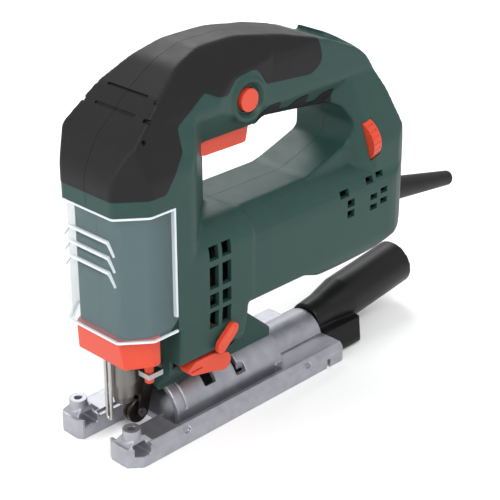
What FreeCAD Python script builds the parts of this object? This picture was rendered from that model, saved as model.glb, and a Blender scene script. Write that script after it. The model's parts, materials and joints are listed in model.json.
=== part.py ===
import FreeCAD, Part
import math
import os
import re

from FreeCAD import Placement, Rotation, Vector

# A corded D-handle jigsaw. The origin is the centre of the sole plate's underside.
# +X points to the rear, +Z up, and the saw's left side is -Y.
SIZES = {
    # sole plate, with the half-round tilt barrel and the dust duct cast on it
    "plate_length": 166, "plate_width": 65, "floor_height": 4.5, "plate_height": 11.5,
    "rim_width": 5.5, "gap_half": 11.2, "gap_end_x": -40, "arm_height": 10,
    "block_end_x": -69.5, "block_height": 15, "boss_x": -75, "boss_y": 22,
    "boss_radius": 5, "boss_top": 19.5, "clamp_hole_radius": 2.1,
    "guide_x": -75.2, "guide_width": 8.8, "guide_low": 6.6, "guide_high": 12.6,
    "tilt_z": 7.2, "barrel_radius": 21.3, "barrel_bore": 18, "barrel_front": -40.5,
    "barrel_rear": 42, "duct_radius": 14.6, "duct_bore": 11.8, "foot_gap": 0.3,
    # tilt clamp and orbital selector on the lower left side
    "tilt_lever_x": -13, "tilt_lever_z": 37, "cross_radius": 3.9,
    "bolt_radius": 3.2, "bolt_slot": 8.4, "bolt_slot_angle": 58,
    "knob_x": -14.5, "knob_z": 54, "knob_shaft": 3.5,
    # blade line, plunger and blade clamp
    "blade_x": -61, "rod_radius": 4, "rod_low": 34, "rod_high": 152,
    "collar_radius": 8, "collar_low": 33.6, "collar_high": 50, "core_radius": 5.1,
    "nose_low": 21.5,
    "bush_radius": 7, "low_bush_z": 75, "low_bush_height": 13,
    "high_bush_z": 139, "high_bush_height": 12,
    # motor and gear train
    "motor_z": 93.5, "gear_module": 0.8, "pinion_teeth": 8, "gear_teeth": 48,
    "gear_front": -44, "gear_width": 7, "gear_shaft_radius": 5, "running": 0.05,
    "crank_radius": 11, "crank_roller_radius": 6, "shaft_radius": 4,
    "plate_front": -36, "plate_thickness": 7, "bearing_radius": 11,
    "core_front": 2, "core_length": 42, "armature_radius": 16, "stator_bore": 16.5,
    "stator_half_width": 27, "stator_half_height": 22.3,
    "fan_front": -22, "fan_width": 10, "fan_radius": 21.5,
    "commutator_front": 58, "commutator_length": 14, "commutator_radius": 11,
    "rear_bearing_x": 78, "rear_bearing_radius": 9.5, "rear_shaft_radius": 3.5,
    # orbital fork and guide roller
    "fork_x": -42, "fork_z": 47, "roller_x": -52.6, "roller_z": 11.8,
    "roller_radius": 7.4, "roller_width": 5.4, "fork_half_width": 4.8,
    # housing
    "wall": 3, "skin": 1.6, "half_width": 31.5, "body_half_width": 31,
    "grip_half_width": 20.5, "guard_low": 70.3, "guard_high": 140.7,
    "guard_rear": -48.3, "guard_thickness": 2.2, "guard_recess": 6,
    # controls
    "trigger_x": -5.5, "trigger_z": 166.5, "button_x": 12.6, "button_z": 179.5, "button_face": -23.5,
    "button_radius": 6.3, "wheel_x": 107.5, "wheel_y": -17, "wheel_z": 131.5,
    "wheel_radius": 15, "wheel_width": 6.5, "wheel_lean": 12.8,
    # blade release lever and wire blade guard
    "post_x": -57, "post_y": -17, "post_radius": 2.6,
    "wire_x": -71.2, "wire_y": 1.7, "wire_radius": 1,
    # dust nozzle and cord sleeve
    "nozzle_x": 98, "nozzle_z": 15.3, "nozzle_lean": 7.8, "nozzle_length": 70,
    "nozzle_neck": 17, "nozzle_radius": 14.3, "nozzle_bore": 12.3,
    "sleeve_x": 138, "sleeve_z": 81.1, "sleeve_droop": 9.8, "sleeve_length": 82.2,
    "sleeve_root_radius": 8.8, "sleeve_tip_radius": 4.8, "cord_radius": 3.8,
}

doc = FreeCAD.newDocument("jigsaw")
sheet = doc.addObject("Spreadsheet::Sheet", "dims")
for row, (alias, number) in enumerate(SIZES.items(), start=1):
    sheet.set(f"A{row}", alias)
    sheet.set(f"B{row}", str(number))
    sheet.setAlias(f"B{row}", alias)
doc.recompute()


class Cells:
    """The sheet's numbers, read back by alias."""

    def __getattr__(self, alias):
        return float(sheet.get(alias))


d = Cells()
NODES = []


# ---- helpers ----------------------------------------------------------------


def bind(item, path, expression):
    """Drive a property by an expression whose bare names are the sheet's aliases."""
    text = re.sub(r"[a-z][a-z_]*", lambda m: "dims." + m.group() if m.group() in SIZES else m.group(),
                  str(expression))
    item.setExpression(path, text)


TURN = {
    "X": Rotation(Vector(0, 1, 0), 90),
    "-X": Rotation(Vector(0, 1, 0), -90),
    "Y": Rotation(Vector(1, 0, 0), -90),
    "-Y": Rotation(Vector(1, 0, 0), 90),
    "Z": Rotation(),
}


def place(item, at, along="Z"):
    """Put an object at a point given as three expressions, its own Z turned along an axis."""
    item.Placement = Placement(Vector(), TURN[along])
    for path, expression in zip(("x", "y", "z"), at):
        bind(item, "Placement.Base." + path, expression)
    return item


def cylinder(name, radius, length, at, along="Z"):
    item = doc.addObject("Part::Cylinder", name)
    bind(item, "Radius", radius)
    bind(item, "Height", length)
    return place(item, at, along)


def cone(name, radius_low, radius_high, length, at, along="Z"):
    item = doc.addObject("Part::Cone", name)
    bind(item, "Radius1", radius_low)
    bind(item, "Radius2", radius_high)
    bind(item, "Height", length)
    return place(item, at, along)


def block(name, size, at):
    """A box of three expressions, its low corner at three expressions."""
    item = doc.addObject("Part::Box", name)
    for path, expression in zip(("Length", "Width", "Height"), size):
        bind(item, path, expression)
    return place(item, at)


def fuse(name, items):
    item = doc.addObject("Part::MultiFuse", name)
    item.Shapes = items
    return item


def cut(name, base, tools):
    item = doc.addObject("Part::Cut", name)
    item.Base = base
    item.Tool = tools[0] if len(tools) == 1 else fuse(name + "_tools", tools)
    return item


def node(item, label):
    """Name a finished sub-part; its label is its file's name."""
    item.Label = label
    NODES.append(item)
    return item


def feature(label, shape, placement=None):
    """A sub-part whose shape is worked out by Part's own functions."""
    item = doc.addObject("Part::Feature", label)
    item.Shape = shape
    if placement:
        item.Placement = placement
    return node(item, label)


def tube(label, inner, outer, length, at, along="Z"):
    """A plain round bush or ring."""
    outside = cylinder(label + "_outside", outer, length, at, along)
    inside = cylinder(label + "_inside", inner, length, at, along)
    return node(cut(label, outside, [inside]), label)


def outline(corners):
    """Lines and corner arcs through (a, b) or (a, b, radius) corners, as 2D vectors in XY."""
    count = len(corners)
    starts, ends, arcs = [], [], []
    for i, corner in enumerate(corners):
        here = Vector(corner[0], corner[1], 0)
        back = Vector(*corners[i - 1][:2], 0) - here
        ahead = Vector(*corners[(i + 1) % count][:2], 0) - here
        radius = corner[2] if len(corner) > 2 else 0
        half = back.getAngle(ahead) / 2
        if radius == 0 or abs(half - math.pi / 2) < 0.001:
            starts.append(here)
            ends.append(here)
            arcs.append(None)
            continue
        reach = min(radius / math.tan(half), 0.49 * back.Length, 0.49 * ahead.Length)
        radius = reach * math.tan(half)
        bisector = (back.normalize() + ahead.normalize()).normalize()
        middle = here + bisector * (radius / math.sin(half) - radius)
        starts.append(here + back * reach)
        ends.append(here + ahead * reach)
        arcs.append(Part.Arc(starts[-1], middle, ends[-1]))
    pieces = []
    for i in range(count):
        if arcs[i]:
            pieces.append(arcs[i])
        a, b = ends[i], starts[(i + 1) % count]
        if (b - a).Length > 0.0001:
            pieces.append(Part.LineSegment(a, b))
    return pieces


def flat(corners, inset=0):
    """A face in XY inside an outline, drawn in by inset."""
    face = Part.Face(Part.Wire([piece.toShape() for piece in outline(corners)]))
    if inset:
        face = face.makeOffset2D(-inset)
    return face


# How a face drawn in XY is turned so that it is extruded along each axis.
SHEETS = {
    "Y": Placement(Vector(), Rotation(Vector(1, 0, 0), Vector(0, 0, 1), Vector(0, -1, 0), "XZY")),
    "X": Placement(Vector(), Rotation(Vector(0, 1, 0), Vector(0, 0, 1), Vector(1, 0, 0), "XYZ")),
    "Z": Placement(),
}


def prism(corners, along, low, high, inset=0):
    """A face extruded from low to high: corners are (x, z) along Y, (y, z) along X, (x, y) along Z."""
    face = flat(corners, inset)
    face.Placement = SHEETS[along]
    axis = {"X": Vector(1, 0, 0), "Y": Vector(0, 1, 0), "Z": Vector(0, 0, 1)}[along]
    face.translate(axis * low)
    return face.extrude(axis * (high - low))


def mirrored(corners):
    """A half outline, from low to high, closed by its mirror image in the second axis."""
    return corners + [(-c[0],) + tuple(c[1:]) for c in reversed(corners)]


def slab(low, high):
    """A box between two corners."""
    return Part.makeBox(high[0] - low[0], high[1] - low[1], high[2] - low[2], Vector(*low))


def rod(start, end, radius):
    """A round bar between two points."""
    start, end = Vector(*start), Vector(*end)
    return Part.makeCylinder(radius, (end - start).Length, start, end - start)


def joined(shapes):
    whole = shapes[0].multiFuse(shapes[1:]) if len(shapes) > 1 else shapes[0]
    return whole.removeSplitter()


def body_with(label):
    """A PartDesign body that is a node of its own."""
    item = doc.addObject("PartDesign::Body", label)
    return node(item, label)


def plane_of(body, role):
    return next(f for f in body.Origin.OriginFeatures if f.Role == role)


def sketch(body, name, role, pieces, offset=None):
    """A sketch of lines, arcs and circles on one of the body's own planes."""
    item = body.newObject("Sketcher::SketchObject", name)
    item.AttachmentSupport = [(plane_of(body, role), "")]
    item.MapMode = "FlatFace"
    if offset is not None:
        bind(item, "AttachmentOffset.Base.z", offset)
    item.addGeometry(pieces, False)
    return item


# ---- sole plate ---------------------------------------------------------------


def sole_outline():
    """Plan of the casting: a rectangle with the blade gap open at the front."""
    rear, side = d.plate_length / 2, d.plate_width / 2
    half = [(rear, side, 2), (-rear + 7, side, 1), (-rear, side - 6, 1), (-rear, d.gap_half + 3, 1),
            (-rear + 2, d.gap_half, 0), (d.gap_end_x, d.gap_half, 4)]
    return half + [(x, -y, r) for x, y, r in reversed(half)]


def barrel(radius, low, start, end):
    """Part of a cylinder about the tilt axis, cut flat at the height low."""
    round_bar = rod((start, 0, d.tilt_z), (end, 0, d.tilt_z), radius)
    return round_bar.common(slab((start, -40, low), (end, 40, 60)))


def tilt_slots():
    """The slot that the clamp bolt slides round, and the L-shaped notch beside it."""
    angle = math.radians(d.bolt_slot_angle)
    reach = 26
    wedge = [(0, d.tilt_z), (-reach * math.sin(angle), d.tilt_z + reach * math.cos(angle)),
             (0, d.tilt_z + reach * 1.5),
             (reach * math.sin(angle), d.tilt_z + reach * math.cos(angle))]
    start = d.tilt_lever_x - d.bolt_slot / 2
    around = prism(wedge, "X", start, start + d.bolt_slot)
    upright = slab((6, -18, 16), (9.2, -9, 32))
    foot = slab((6, -19.2, 15.5), (13.5, -15.6, 24))
    return [around, upright, foot]


def sole_plate():
    rear, side = d.plate_length / 2, d.plate_width / 2
    plate = prism(sole_outline(), "Z", 0, d.plate_height)
    chamfer = [(side - 3.3, d.plate_height + 1), (side - 3.3, d.plate_height), (side + 0.5, 7.7),
               (side + 1, d.plate_height + 1)]
    trough = [(-48, 12.5), (36, 12.5), (36, side - d.rim_width), (-48, side - d.rim_width)]
    cuts = [slab((d.block_end_x, -14, d.arm_height), (d.gap_end_x, 14, 30))]
    for sign in (-1, 1):
        cuts.append(prism([(sign * y, z) for y, z in chamfer], "X", d.block_end_x, rear + 1))
        cuts.append(prism([(x, sign * y) for x, y in trough], "Z", d.floor_height, 30))
        cuts.append(slab((-46, sign * side - 2, 7), (-42, sign * side + 2, 20)))
        cuts.append(slab((50, sign * side - 2, 7), (54, sign * side + 2, 20)))
        cuts.append(slab((68, sign * side - 2.5, -1), (71, sign * side + 2.5, 5.5)))
    plate = plate.cut(cuts)
    added = [barrel(d.barrel_radius, 0, d.barrel_front, d.barrel_rear),
             barrel(d.duct_radius, 0, d.barrel_rear - 1, rear)]
    nose = [(-rear, 5), (-rear, 0), (d.block_end_x + 3, 0), (d.block_end_x + 3, d.plate_height),
            (d.block_end_x, d.block_height), (-rear + 5.5, d.block_height), (-rear + 1.5, 11.5)]
    section = [(d.gap_half, 0), (d.gap_half, 5), (d.gap_half + 6, d.block_height),
               (side - 6.3, d.block_height), (side, 5.7), (side, 0)]
    arms = prism(sole_outline(), "Z", 0, d.block_height).common(prism(nose, "Y", -side, side))
    for sign in (-1, 1):
        added.append(arms.common(prism([(sign * y, z) for y, z in section], "X", -rear, 0)))
        added.append(rod((d.boss_x, sign * d.boss_y, d.guide_high),
                         (d.boss_x, sign * d.boss_y, d.boss_top), d.boss_radius))
    plate = joined([plate] + added)
    holes = [barrel(d.barrel_bore, 3.5, d.barrel_front - 1, d.barrel_rear - 3),
             barrel(d.duct_bore, 3, d.barrel_rear - 4, rear + 1),
             rod((d.barrel_front + 6, 0, d.tilt_z), (d.barrel_front + 7.2, 0, d.tilt_z), 24).cut(
                 rod((d.barrel_front + 5, 0, d.tilt_z), (d.barrel_front + 8, 0, d.tilt_z), 20.6)).common(
                 slab((-60, -30, 12.5), (0, 30, 40)))]
    holes += tilt_slots()
    holes.append(slab((d.guide_x - d.guide_width / 2, -40, d.guide_low),
                      (d.guide_x + d.guide_width / 2, 40, d.guide_high)))
    for sign in (-1, 1):
        holes.append(rod((d.boss_x, sign * d.boss_y, d.guide_high - 1),
                         (d.boss_x, sign * d.boss_y, d.boss_top + 1), d.clamp_hole_radius))
    return feature("sole_plate", plate.cut(holes).removeSplitter())


# ---- housing --------------------------------------------------------------------

# Side outlines (x, z, radius) of the housing's zones.
COLUMN = [(-80, 70.3, 0), (-80, 160, 24), (-71, 176.5, 20), (-50, 195, 40), (-32, 206.5, 30),
          (-14, 212, 20), (-1, 212, 0), (-1, 70.3, 0)]
BASE = [(-80, 70.3, 0), (-80, 121, 0), (8, 121, 0), (8, 70.3, 0)]
MOTOR = [(-30, 67, 0), (50, 67, 15), (66, 60, 12), (86, 58, 15), (113, 62, 20), (134, 69.5, 14),
         (146, 84, 16), (145, 104, 25), (137, 126, 0), (90, 130, 0), (62, 120.5, 15), (-30, 120.5, 0)]
GRIP_TOP = [(-50, 195, 0), (-32, 206.5, 30), (-14, 212, 40), (12, 212, 50), (44, 206.3, 80),
            (76, 197.5, 60), (107, 184.5, 34), (125, 158, 40), (136, 134, 30)]
GRIP = [(-50, 159.5, 0)] + GRIP_TOP + [(144, 110, 0), (144, 100, 0), (60, 100, 0), (60, 150, 0),
                                       (28, 150, 0), (28, 159.5, 0)]
SHOULDER = [(-50, 159.5, 0)] + GRIP_TOP[:5] + [(44, 159.5, 0)]
LEG = [(84, 100, 0), (84, 198, 0), (107, 184.5, 34), (125, 158, 40), (136, 134, 30), (145, 106, 0),
       (145, 100, 0)]
SKIRT = [(-46, 24, 0), (-46, 80, 0), (4, 80, 0), (4, 62, 6), (0, 43, 8), (-6, 24, 0)]
SADDLE = [(-46, 24, 0), (-46, 62, 0), (2, 62, 0), (25, 45, 20), (41.5, 30.5, 0), (41.5, 22, 0), (-46, 22, 0)]
LOOP = [(-1, 120.5, 7), (61, 120.5, 25), (78, 126, 15), (95, 132, 8), (98, 143, 9), (92, 155, 9),
        (72, 158, 20), (30, 164.4, 3), (28.5, 159.5, 0), (-1, 159.5, 6)]

# The finger pads: everything below this wavy line on the grip's underside, seen from the side.
WAVES = [(27, 150, 0), (27, 166.5, 0), (31.6, 170.6, 4), (40, 170.5, 1), (41.2, 165.6, 2), (50.6, 163.6, 2),
         (54, 168, 4), (63, 168.7, 1), (64.7, 161.9, 2), (73.1, 161, 2), (76.5, 165.5, 4), (85.5, 166.2, 1),
         (87.3, 158.4, 0), (87.3, 150, 0)]

# Overmould: everything above this line, seen from the side.
OVERMOULD = [(-90, 149.5, 0), (-54.7, 149.5, 3), (-41, 167.7, 3), (-41.5, 180, 3), (-20, 192, 3),
             (-11.5, 187.7, 4), (-4, 186.5, 4), (4, 193.5, 8), (20, 195, 9), (28, 184, 3),
             (62, 181, 8), (72, 186, 8), (68, 200, 6), (68, 225, 0), (-90, 225, 0)]


def zones(inset):
    """The housing's outer form, or the same form drawn in by inset."""
    wide, body, grip = d.half_width, d.body_half_width, d.grip_half_width
    column_front = mirrored([(-wide, 60), (-wide, 158, 25), (-23, 194, 20), (-12, 213.5, 8)])
    column_plan = column_outline() + [(-34, wide, 14), (-2.5, 3, 2), (-2.5, -3, 2), (-34, -wide, 14)]
    base_front = mirrored([(-wide, 60), (-wide, 121, 16)])
    base_plan = column_outline() + [(12, wide, 6), (12, -wide, 6)]
    motor_front = mirrored([(-body, 56, 16), (-body, 122, 20)])
    motor_plan = [(-31, -body), (147, -body, 24), (147, body, 24), (-31, body)]
    grip_front = mirrored([(-grip, 99), (-grip, 138, 6), (-10.5, 150, 4), (-11.5, 158.5, 3),
                           (-grip, 172, 10), (-grip, 213, 19)])
    shoulder_front = mirrored([(-11, 140), (-11.5, 158.5, 2), (-26.5, 181, 10), (-23, 194, 20),
                               (-12, 213.5, 8)])
    leg_front = mirrored([(-29, 99), (-29, 128, 20), (-grip, 170, 20), (-12, 204, 8)])
    leg_plan = [(80, -8), (84, -10), (106, -29.5, 25), (146, -29.5, 22), (146, 29.5, 22), (106, 29.5, 25),
                (84, 10), (80, 8)]
    shoulder_plan = [(-50, -wide), (-37, -wide, 20), (2, -22.5, 20), (32, -grip, 5), (36, -17), (36, 17),
                     (32, grip, 5), (2, 22.5, 20), (-37, wide, 20), (-50, wide)]
    skirt_front = mirrored([(-10.5, 20), (-10.5, 26.5), (-30.5, 49, 4), (-31.5, 81)])
    saddle_front = mirrored([(-11.5, 20), (-11.5, 36, 3), (-9.5, 66)])
    recipe = [
        (COLUMN, column_front, column_plan),
        (BASE, base_front, base_plan),
        (MOTOR, motor_front, motor_plan),
        (GRIP, grip_front, None),
        (SHOULDER, shoulder_front, shoulder_plan),
        (LEG, leg_front, leg_plan),
        (SKIRT, skirt_front, None),
        (SADDLE, saddle_front, None),
    ]
    solids = []
    for side, front, plan in recipe:
        solid = prism(side, "Y", -40, 40, inset).common(prism(front, "X", -100, 160, inset))
        if plan:
            solid = solid.common(prism(plan, "Z", 10, 230, inset))
        solids.append(solid)
    whole = joined(solids)
    return whole.cut(prism(LOOP, "Y", -50, 50, -inset))


def column_outline():
    """The column's front half in plan: a flat face, two facets and the start of both sides."""
    wide = d.half_width
    return [(-65, -wide, 4), (-80, -19.5, 3), (-80, 19.5, 3), (-65, wide, 4)]


def guard_space(inset, low, high, rear):
    """The wrap-round space at the column's front that the clear guard fills."""
    wide = d.half_width
    plan = column_outline() + [(12, wide), (12, -wide)]
    return prism(plan, "Z", low, high, inset).common(slab((-90, -40, low), (rear, 40, high)))


SCREWS = [(-44, 171), (46, 182), (110, 171), (131, 112), (70, 68), (-5, 66.5)]

# Side windows (x low, z low, x high, z high): the column's grid and the rear vents.
VENTS = [(x, z0, x + 6.6, z1) for x in (-25.6, -16.4)
         for z0, z1 in ((62.5, 72.5), (75, 83), (86, 99), (102.5, 110.5))]
VENTS += [(78, 105, 85.5, 109.5), (84, 98, 90, 102.5), (84, 91.5, 90, 96), (101, 107, 107, 111),
          (110, 108.5, 116, 112), (104, 96.5, 110, 100), (113, 98, 119, 101.5), (104, 90, 110, 93.5),
          (113, 91.5, 119, 95)]


def inner_ribs(space):
    """Ribs that seat the stator, the rear bearing and the gear plate, inside the given space."""
    seats = [
        (slab((5, -40, 60), (8, 40, 130)), "stator"),
        (slab((38, -40, 60), (41, 40, 130)), "stator"),
        (slab((d.rear_bearing_x, -40, 60), (d.rear_bearing_x + 6, 40, 119)), "bearing"),
        (slab((d.plate_front + 1, -40, 66), (d.plate_front + 5, 40, 153)), "gear plate"),
        (slab((d.trigger_x - 4, -16, 161), (d.trigger_x + 4, 16, 171)), "trigger pin"),
    ]
    ribs = []
    for rib, seat in seats:
        rib = rib.common(space)
        if seat == "stator":
            rib = rib.cut(prism(stator_outline(), "X", 0, 60))
        elif seat == "trigger pin":
            rib = rib.cut(slab((-20, -9.2, 150), (10, 9.2, 180)))
        elif seat == "bearing":
            rib = rib.cut(rod((70, 0, d.motor_z), (95, 0, d.motor_z), d.rear_bearing_radius))
        else:
            rib = rib.cut(prism(gear_plate_outline(), "X", -60, 0))
        ribs.append(rib)
    return ribs


def stator_outline():
    wide, high = d.stator_half_width, d.stator_half_height
    return [(-wide, d.motor_z - high, 12), (wide, d.motor_z - high, 12), (wide, d.motor_z + high, 12),
            (-wide, d.motor_z + high, 12)]


def gear_plate_outline():
    return [(-22.5, 73, 4), (22.5, 73, 4), (22.5, 151, 4), (-22.5, 151, 4)]


def wheel_placement():
    """The speed wheel's place: its axis leans up to the rear."""
    return Placement(Vector(d.wheel_x, d.wheel_y, d.wheel_z), Rotation(Vector(0, 1, 0), 90 - d.wheel_lean))


def housing_holes():
    """Everything cut through the halves: controls, vents, the plunger's floor hole, the foot's seat."""
    holes = [
        slab((-11.3, -9.2, 147), (27.3, 9.2, 172)),
        rod((d.trigger_x, -12.3, d.trigger_z), (d.trigger_x, 12.3, d.trigger_z), 1.5 + d.running),
        rod((d.post_x, d.post_y, 60), (d.post_x, d.post_y, 72), d.post_radius + d.running),
        rod((d.button_x, -40, d.button_z), (d.button_x, -8, d.button_z), d.button_radius + 0.3),
        rod((d.button_x, -30, d.button_z), (d.button_x, d.button_face + 2.2, d.button_z), 9.2),
        rod((d.blade_x, 0, 60), (d.blade_x, 0, 74.7), 9.6),
        rod((d.barrel_front - 30, 0, d.tilt_z), (60, 0, d.tilt_z), d.barrel_radius + d.foot_gap),
        slab((-50, -6, 20), (-3, 6, 64)),
        slab((-50, -40, 25), (-3, -20.8, 47.5)),
        slab((-50, -15, 20), (d.barrel_front - 1.5, 15, 36)),
        rod((d.tilt_lever_x, -40, d.tilt_lever_z), (d.tilt_lever_x, 14, d.tilt_lever_z),
            d.cross_radius + d.running),
        rod((d.knob_x, -40, d.knob_z), (d.knob_x, 0, d.knob_z), d.knob_shaft + d.running),
        rod((120, 0, 84.3), (160, 0, 74.8), d.sleeve_root_radius + 0.2),
    ]
    for side in (-1, 1):
        holes += [slab((x0, side * 36 - 9, z0), (x1, side * 36 + 9, z1)) for x0, z0, x1, z1 in VENTS]
    slot = Part.makeCylinder(d.wheel_radius + 0.6, d.wheel_width + 0.8,
                             Vector(0, 0, -d.wheel_width / 2 - 0.4))
    slot.Placement = wheel_placement()
    holes.append(slot)
    return holes


def housing():
    """Both halves of the shell and both halves of the soft cover moulded over it."""
    outer, under, space = zones(0), zones(d.skin), zones(d.wall)
    skin = outer.cut(under)
    cover = skin.common(prism(OVERMOULD, "Y", -45, 45))
    pads = skin.common(prism(WAVES, "Y", -45, 45)).removeSplitter()
    recess = guard_space(0, d.guard_low - 0.3, d.guard_high + 0.3, d.guard_rear + 0.3)
    recess = recess.cut(guard_space(d.guard_recess, 60, 160, 0))
    narrow = guard_space(d.guard_recess + 2.5, d.guard_low + 2.2, d.guard_high + 4, 6)
    front = slab((-90, -40, 60), (-46, 40, d.guard_high + 3.2))
    space = space.cut(front.cut(narrow))
    posts = [rod((x, -40, z), (x, 40, z), 4.2).common(space) for x, z in SCREWS]
    shell = outer.cut([space, cover, recess, pads])
    ring = cone_between((d.button_x, -16.9, d.button_z), (d.button_x, d.button_face, d.button_z), 13.6, 12)
    shell = joined([shell, ring] + posts + inner_ribs(space))
    shell = shell.cut(housing_holes())
    left = shell.cut([rod((x, -22, z), (x, 1, z), 1.6) for x, z in SCREWS])
    right = shell.cut([rod((x, -1, z), (x, 12, z), 1.6) for x, z in SCREWS]
                      + [rod((x, 12, z), (x, 50, z), 3.4) for x, z in SCREWS])
    left_side, right_side = slab((-120, -60, 0), (200, 0, 240)), slab((-120, 0, 0), (200, 60, 240))
    feature("housing_left", left.common(left_side).removeSplitter())
    feature("housing_right", right.common(right_side).removeSplitter())
    grooves = [prism([(x - 3, z - 0.7), (x + 14, z - 9), (x + 14, z - 7.4), (x - 3, z + 0.9)], "Y", -40, 40)
               for x, z in ((-52, 195.3), (-64, 186), (-74, 176.5))]
    shallow = zones(d.skin / 2)
    cover = cover.cut([groove.cut(shallow) for groove in grooves])
    feature("overmould_left", largest(cover.common(left_side)))
    feature("overmould_right", largest(cover.common(right_side)))
    feature("finger_pads", largest(pads))


def cone_between(start, end, first, last):
    """A cone between two points, with its radius at each."""
    start, end = Vector(*start), Vector(*end)
    return Part.makeCone(first, last, (end - start).Length, start, end - start)


def largest(shape):
    """The biggest solid of a shape."""
    return max(shape.Solids, key=lambda solid: solid.Volume)


def housing_screws():
    """One group of screws: head in the right half, thread in the left."""
    screws = []
    for x, z in SCREWS:
        head = rod((x, 12, z), (x, 14.6, z), 3.2)
        shank = rod((x, -14, z), (x, 12, z), 1.6)
        drive = prism([(x + 1.5 * math.cos(math.radians(60 * k)), z + 1.5 * math.sin(math.radians(60 * k)))
                       for k in range(6)], "Y", 13.2, 15)
        screws.append(head.fuse(shank).cut(drive).removeSplitter())
    return feature("housing_screws", Part.makeCompound(screws))


def chip_guard():
    """Clear wrap-round guard with three louvre slots across its front."""
    low, high, rear = d.guard_low, d.guard_high, d.guard_rear
    shell = guard_space(0, low, high, rear).cut(
        guard_space(d.guard_thickness, low - 1, high - 2, rear + 1))
    shell = shell.cut(guard_space(d.guard_recess - 0.4, high - 3, high + 1, rear + 1))
    corner = prism([(rear - 9, low - 1), (rear + 1, low - 1), (rear + 1, low + 9)], "Y", -40, 40)
    slots = []
    for z in (126.5, 118, 109.6):
        slots.append(slab((-85, -12.5, z - 2.6), (-77, 12.5, z - 0.4)))
    return feature("chip_guard", shell.cut(slots + [corner]).removeSplitter())


# ---- gear train -------------------------------------------------------------------


def tooth_wheel(teeth, module, width, backlash, first_angle):
    """A spur wheel with involute flanks, made by revolving one tooth's points round the rim."""
    pitch, tip, root = module * teeth / 2, module * (teeth / 2 + 1), module * (teeth / 2 - 1.25)
    pressure = math.radians(20)
    base = pitch * math.cos(pressure)
    involute = math.tan(pressure) - pressure
    half_tooth = math.pi / (2 * teeth) - backlash / (2 * pitch)

    def flank(radius):
        """Half of the tooth's angle at a radius."""
        if radius <= base:
            return half_tooth + involute
        angle = math.acos(base / radius)
        return half_tooth + involute - (math.tan(angle) - angle)

    steps = [max(base, root) + (tip - max(base, root)) * k / 3 for k in range(4)]
    radii = ([root] if root < base else []) + steps
    points = []
    for tooth in range(teeth):
        centre = first_angle + 2 * math.pi * tooth / teeth
        for radius in radii:
            points.append((radius, centre - flank(radius)))
        for radius in reversed(radii):
            points.append((radius, centre + flank(radius)))
    corners = [Vector(0, r * math.cos(a), r * math.sin(a)) for r, a in points]
    face = Part.Face(Part.makePolygon(corners + [corners[0]]))
    return face.extrude(Vector(width, 0, 0))


def gear_centre():
    """Height of the crank gear's axis above the sole."""
    return d.motor_z + d.gear_module * (d.pinion_teeth + d.gear_teeth) / 2


def drive_gear():
    """The crank gear: a tooth's middle points down at the pinion."""
    centre = gear_centre()
    wheel = tooth_wheel(int(d.gear_teeth), d.gear_module, d.gear_width, 0.16, -math.pi / 2)
    wheel.translate(Vector(d.gear_front, 0, centre))
    bore = rod((-60, 0, centre), (-20, 0, centre), d.gear_shaft_radius + d.running)
    return feature("drive_gear", wheel.cut(bore))


def armature_shaft():
    """Shaft with the pinion cut on its front end; a gap's middle points up at the gear."""
    teeth = int(d.pinion_teeth)
    pinion = tooth_wheel(teeth, d.gear_module, d.gear_width + 1, 0.16, math.pi / 2 + math.pi / teeth)
    pinion.translate(Vector(d.gear_front - 0.5, 0, d.motor_z))
    front = rod((d.gear_front + d.gear_width + 0.5, 0, d.motor_z), (75, 0, d.motor_z), d.shaft_radius)
    rear = rod((75, 0, d.motor_z), (86, 0, d.motor_z), d.rear_shaft_radius)
    return feature("armature_shaft", joined([pinion, front, rear]))


def gear_train():
    """Crank pin, its roller, the fixed gear shaft and the casting that carries them."""
    centre, crank = "motor_z + gear_module * (pinion_teeth + gear_teeth) / 2", "crank_radius"
    node(cylinder("crank_pin", 3.5, 7, ("gear_front - 7", 0, f"{centre} - {crank}"), "X"), "crank_pin")
    tube("crank_roller", "3.5", "crank_roller_radius", 4.6, ("gear_front - 7.6", 0, f"{centre} - {crank}"),
         "X")
    node(cylinder("gear_shaft", "gear_shaft_radius", "gear_width + plate_thickness + 2.5",
                  ("gear_front - 1", 0, centre), "X"), "gear_shaft")
    drive_gear()
    armature_shaft()
    tube("front_bearing", "shaft_radius + running", "bearing_radius", "plate_thickness",
         ("plate_front", 0, "motor_z"), "X")
    tube("rear_bearing", "rear_shaft_radius + running", "rear_bearing_radius", 6,
         ("rear_bearing_x", 0, "motor_z"), "X")


def gear_case():
    """Cast frame: the plate behind the gear, and two arms and a spine that hold the plunger's bushes."""
    centre, x = gear_centre(), d.plate_front
    plate = prism(gear_plate_outline(), "X", x, x + d.plate_thickness)
    low, high = d.low_bush_z, d.high_bush_z
    low_arm = slab((-70, -9.5, low), (x, 9.5, low + d.low_bush_height))
    high_arm = slab((-70, -9.5, high), (x, 9.5, high + d.high_bush_height))
    spine = slab((-71, -9.5, low), (-67, 9.5, high + d.high_bush_height))
    case = joined([plate, low_arm, high_arm, spine])
    holes = [
        rod((x - 1, 0, d.motor_z), (x + 9, 0, d.motor_z), d.bearing_radius),
        rod((x - 1, 0, centre), (x + 9, 0, centre), d.gear_shaft_radius),
        rod((d.blade_x, 0, low - 1), (d.blade_x, 0, high + 20), d.bush_radius),
    ]
    return feature("gear_case", case.cut(holes).removeSplitter())


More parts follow.
